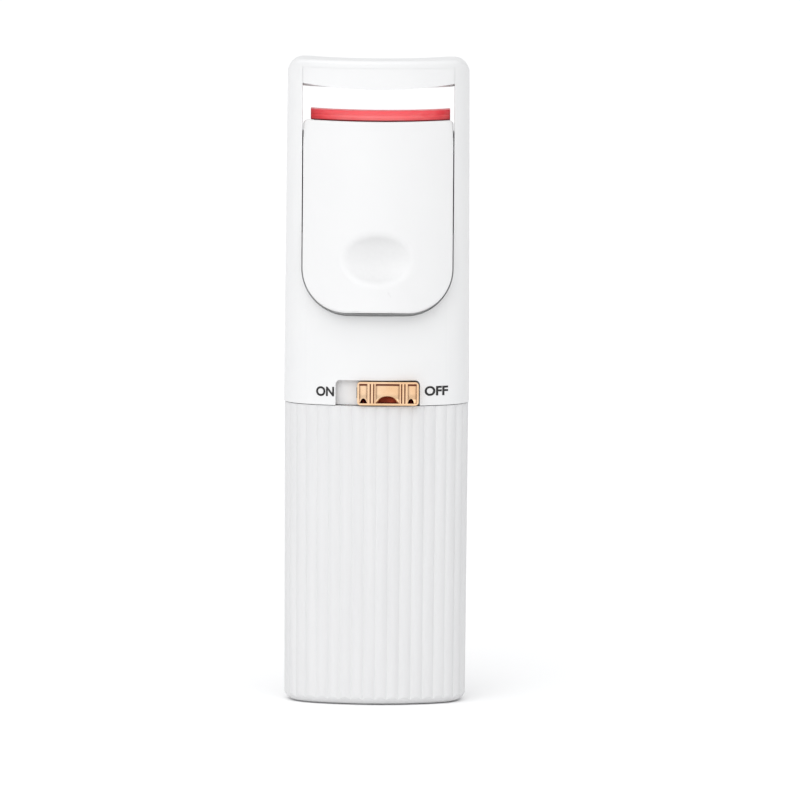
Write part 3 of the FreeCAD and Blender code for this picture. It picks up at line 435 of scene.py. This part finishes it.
def make_pad():
    """The pad bent round the eye centre line, a closed skin with softly rounded ends."""
    low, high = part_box("silicone_pad")
    middle = (low.x + high.x) / 2
    half = (high.x - low.x) / 2
    outer, inner = 22.0 * MM, 18.6 * MM
    first_step, step_length, steps = 0.4 * MM, 0.6 * MM, 45
    centre = low.y + outer
    middle_distance, middle_height = (inner + outer) / 2, (low.z + high.z) / 2
    half_thick, half_tall = (outer - inner) / 2, (high.z - low.z) / 2
    profile = pad_profile(inner, outer, low.z, high.z)
    stations = [-half + depth * MM for depth in (0, 0.015, 0.05, 0.1, 0.15)]
    stations += [-half + first_step + step * step_length for step in range(steps)]
    stations = [x for x in stations if x < 0] + [-x for x in reversed(stations) if x < 0]
    end_round = 0.15 * MM
    points, faces = [], []
    for x in stations:
        edge = max(0.0, abs(x) - (half - end_round)) / end_round
        shrink = end_round * (1 - math.sqrt(max(0.0, 1 - edge * edge)))
        for distance, height in profile:
            near = middle_distance + (distance - middle_distance) * (1 - shrink / half_thick)
            level = middle_height + (height - middle_height) * (1 - shrink / half_tall)
            points.append((middle + x, centre - math.sqrt(near * near - x * x), level))
    count = len(profile)
    for station in range(len(stations) - 1):
        for number in range(count):
            first = station * count + number
            second = station * count + (number + 1) % count
            faces.append((first, first + count, second + count, second))
    faces.append(tuple(range(count)))
    faces.append(tuple((len(stations) - 1) * count + number for number in reversed(range(count))))
    pad = mesh_piece("silicone_pad_soft", points, faces, looks["silicone"], smooth_under=50)
    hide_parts("silicone_pad")
    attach(pad, "carriage")


make_pad()


# --- return springs and heater leads -----------------------------------------------------------

def swept(name, path, radius, material, sides=14):
    """A closed round wire along a path of points."""
    points, faces = [], []
    for number, place in enumerate(path):
        along = (path[min(number + 1, len(path) - 1)] - path[max(number - 1, 0)]).normalized()
        aside = Vector((0, 1, 0)) if abs(along.z) > 0.9 else Vector((0, 0, 1))
        side = along.cross(aside).normalized()
        up = side.cross(along)
        for step in range(sides):
            turn = 2 * math.pi * step / sides
            points.append(place + radius * (math.cos(turn) * side + math.sin(turn) * up))
    for ring in range(len(path) - 1):
        for step in range(sides):
            first, second = ring * sides + step, ring * sides + (step + 1) % sides
            faces.append((first, first + sides, second + sides, second))
    faces.append(tuple(range(sides)))
    faces.append(tuple((len(path) - 1) * sides + step for step in reversed(range(sides))))
    return mesh_piece(name, points, faces, material, smooth_under=50)


def make_return_spring(side):
    """A coil with closed ends, seated in the head and carried with it."""
    node = "return_spring_" + side
    low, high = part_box(node)
    middle = (low + high) / 2
    wire = 0.25 * MM
    radius = (high.x - low.x) / 2 - wire
    steps_a_turn, active_turns, end_turns = 28, 4, 0.8
    end_pitch = 2.1 * wire
    rise = high.z - low.z - 2 * wire
    active_pitch = (rise - 2 * end_turns * end_pitch) / active_turns
    path = []
    for step in range(round(steps_a_turn * (active_turns + 2 * end_turns)) + 1):
        turns = step / steps_a_turn
        coiled = min(max(turns - end_turns, 0), active_turns)
        height = coiled * active_pitch + (turns - coiled) * end_pitch
        angle = 2 * math.pi * turns
        path.append(Vector((middle.x + radius * math.cos(angle), middle.y + radius * math.sin(angle),
                            low.z + wire + min(height, rise))))
    spring = swept(node + "_coil", path, wire, looks["steel"])
    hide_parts(node)
    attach(spring, "head")
    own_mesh(spring)


def make_heater_lead(side, look):
    """A lead from the board to the carriage."""
    node = "heater_lead_" + side
    low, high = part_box(node)
    middle = (low + high) / 2
    rings = 30
    path = [Vector((middle.x, middle.y, low.z + (high.z - low.z) * ring / rings))
            for ring in range(rings + 1)]
    lead = swept(node + "_wire", path, (high.x - low.x) / 2, looks[look])
    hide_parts(node)
    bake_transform(lead)


make_return_spring("left")
make_return_spring("right")
make_heater_lead("left", "red_lead")
make_heater_lead("right", "black_lead")


# --- ON and OFF --------------------------------------------------------------------------------

def front_of_shell(x, z):
    """Depth of the front shell's face at a place, found by a ray from in front."""
    start = Vector((x, -100 * MM, z))
    hit, place = nodes["front_shell"].ray_cast(start, Vector((0, 1, 0)))[:2]
    return place.y if hit else 0.0


def label(word, middle_x, middle_z, wide, tall):
    """A printed word lying on the curved front, a hair proud of it."""
    boldness = 0.032
    proud = 0.05 * MM
    ink = 0.015 * MM
    curve = bpy.data.curves.new("label_" + word.lower(), "FONT")
    curve.body = word
    curve.offset = boldness
    curve.resolution_u = 24
    holder = bpy.data.objects.new("text", curve)
    bpy.context.scene.collection.objects.link(holder)
    bpy.context.view_layer.update()
    solved = holder.evaluated_get(bpy.context.evaluated_depsgraph_get())
    mesh = bpy.data.meshes.new_from_object(solved)
    bpy.data.objects.remove(holder)
    across = [vertex.co.x for vertex in mesh.vertices]
    up = [vertex.co.y for vertex in mesh.vertices]
    for vertex in mesh.vertices:
        x = middle_x + wide * ((vertex.co.x - min(across)) / (max(across) - min(across)) - 0.5)
        z = middle_z + tall * ((vertex.co.y - min(up)) / (max(up) - min(up)) - 0.5)
        vertex.co = (x, front_of_shell(x, z) - proud, z)
    mesh.update()
    mesh.materials.clear()
    mesh.materials.append(looks["print"])
    piece = bpy.data.objects.new("label_" + word.lower(), mesh)
    bpy.context.scene.collection.objects.link(piece)
    thickness = piece.modifiers.new("ink", "SOLIDIFY")
    thickness.thickness = ink
    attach(piece, "head")


label("ON", -10.35 * MM, 63.4 * MM, 3.6 * MM, 1.95 * MM)
label("OFF", 12.0 * MM, 63.6 * MM, 4.7 * MM, 1.95 * MM)


# --- floor, light, camera ----------------------------------------------------------------------

def make_floor():
    """The floor. It goes with the grip, which stands on it while the head is lifted off."""
    size = 12.0
    off_white, near_white = (0.95, 0.95, 0.95), (0.96, 0.96, 0.96)
    corners = [(-size, -size, 0), (size, -size, 0), (size, size, 0), (-size, size, 0)]
    material, tree, shader = new_material("floor_pale")
    tone = spread(tree, noise(tree, object_place(tree), FLOOR_CLOUDS, 2), 0.0, 1.0)
    tree.links.new(mixed(tree, tone, off_white, near_white), shader.inputs["Base Color"])
    shader.inputs["Roughness"].default_value = 0.9
    shader.inputs["Specular IOR Level"].default_value = 0.0
    floor = mesh_piece("floor", corners, [(0, 1, 2, 3)], material)
    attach(floor, "sleeve")


def aimed(name, data, place, target):
    """An object for a light or camera, at a place and turned to a target."""
    holder = bpy.data.objects.new(name, data)
    holder.location = place
    holder.rotation_mode = "QUATERNION"
    holder.rotation_quaternion = (Vector(target) - Vector(place)).to_track_quat("-Z", "Y")
    bpy.context.scene.collection.objects.link(holder)
    return holder


def make_lights(middle):
    """A broad overhead light from in front, and a soft key light from the left."""
    sun = bpy.data.lights.new("overhead", "SUN")
    sun.energy = SUN
    sun.angle = math.radians(90)
    aimed("overhead", sun, (-0.13, -0.55, 0.8), (0, 0, 0))
    key = bpy.data.lights.new("key", "AREA")
    key.shape = "DISK"
    key.size = 0.5
    key.energy = KEY
    aimed("key", key, (-0.2, -0.65, 0.5), middle + Vector((0, 0, 0.03)))


def make_world():
    """Even white surroundings, a little dimmer to the right, and a dark ceiling."""
    world = bpy.data.worlds.new("studio")
    world.use_nodes = True
    tree = world.node_tree
    toward = add(tree, "ShaderNodeSeparateXYZ")
    tree.links.new(add(tree, "ShaderNodeTexCoord").outputs["Generated"], toward.inputs["Vector"])
    side = spread(tree, toward.outputs["X"], WORLD_LEFT, WORLD_RIGHT, -1, 1)
    ceiling = spread(tree, toward.outputs["Z"], 1.0, CEILING, 0.55, 0.8)
    background = tree.nodes["Background"]
    background.inputs["Color"].default_value = (0.985, 0.99, 1.0, 1)
    tree.links.new(times(tree, side, ceiling), background.inputs["Strength"])
    bpy.context.scene.world = world


def make_camera(middle):
    """Aimed at the seam from slightly above; the object stands a little left of the picture's middle."""
    distance = 2.0
    elevation = math.radians(5.7)
    tilt = math.radians(0.39)
    frame_width = 161.33 * MM
    aside, down = 4.7 * MM, 4.2 * MM
    camera = bpy.data.cameras.new("camera")
    camera.sensor_width = 36
    camera.lens = camera.sensor_width * distance / frame_width
    camera.shift_x = aside / frame_width
    camera.shift_y = -down / frame_width
    camera.clip_start, camera.clip_end = 0.1, 60
    place = middle + distance * Vector((0, -math.cos(elevation), math.sin(elevation)))
    holder = aimed("camera", camera, place, middle)
    holder.rotation_quaternion = holder.rotation_quaternion @ Euler((0, 0, tilt)).to_quaternion()
    bpy.context.scene.camera = holder


middle = Vector((0, 0, 65 * MM))
make_floor()
make_lights(middle)
make_world()
make_camera(middle)
bpy.context.scene.view_settings.view_transform = "Standard"
